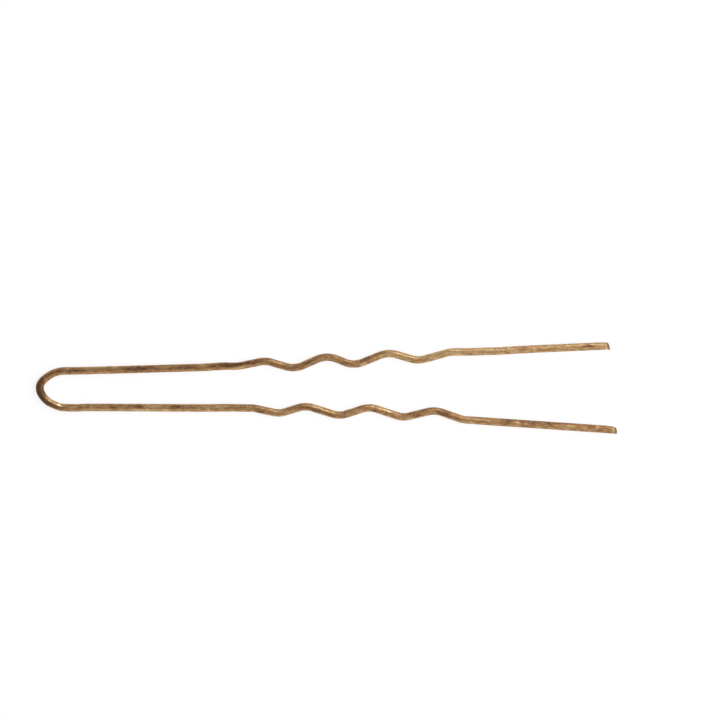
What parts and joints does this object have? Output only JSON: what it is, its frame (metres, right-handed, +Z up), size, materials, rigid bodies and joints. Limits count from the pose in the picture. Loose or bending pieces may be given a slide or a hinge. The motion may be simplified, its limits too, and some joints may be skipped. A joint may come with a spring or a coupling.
{
  "type": "hairpin",
  "caption": "Waved U-shaped hairpin bent from one round bronze-lacquered wire, with springy crinkled legs and straight sheared points.",
  "frame": {"origin": "middle of the pin's outline seen from above, on the plane that the pin lies on", "axes": "+X along the pin from the bend to the points, on the line midway between the two shanks; +Y across the pin to the short leg; +Z up out of the pin's plane"},
  "size_m": [0.076, 0.012, 0.001],
  "materials": {
    "lacquered_wire": "bronze lacquer over drawn steel wire, semi-gloss, streaked along the wire"
  },
  "bodies": {
    "bend": {"bend": "lacquered_wire"},
    "short_leg": {"short_leg": "lacquered_wire"},
    "long_leg": {"long_leg": "lacquered_wire"}
  },
  "joints": [
    {"name": "short_leg_flex", "type": "hinge", "parent": "bend", "child": "short_leg", "pos_m": [-0.0285, 0.00308, 0.00051], "axis": [0, 0, 1], "range_deg": [-3.8, 10], "stiffness_Nm_per_rad": 0.28},
    {"name": "long_leg_flex", "type": "hinge", "parent": "bend", "child": "long_leg", "pos_m": [-0.0285, -0.00181, 0.00051], "axis": [0, 0, -1], "range_deg": [-3.8, 10], "stiffness_Nm_per_rad": 0.28}
  ]
}
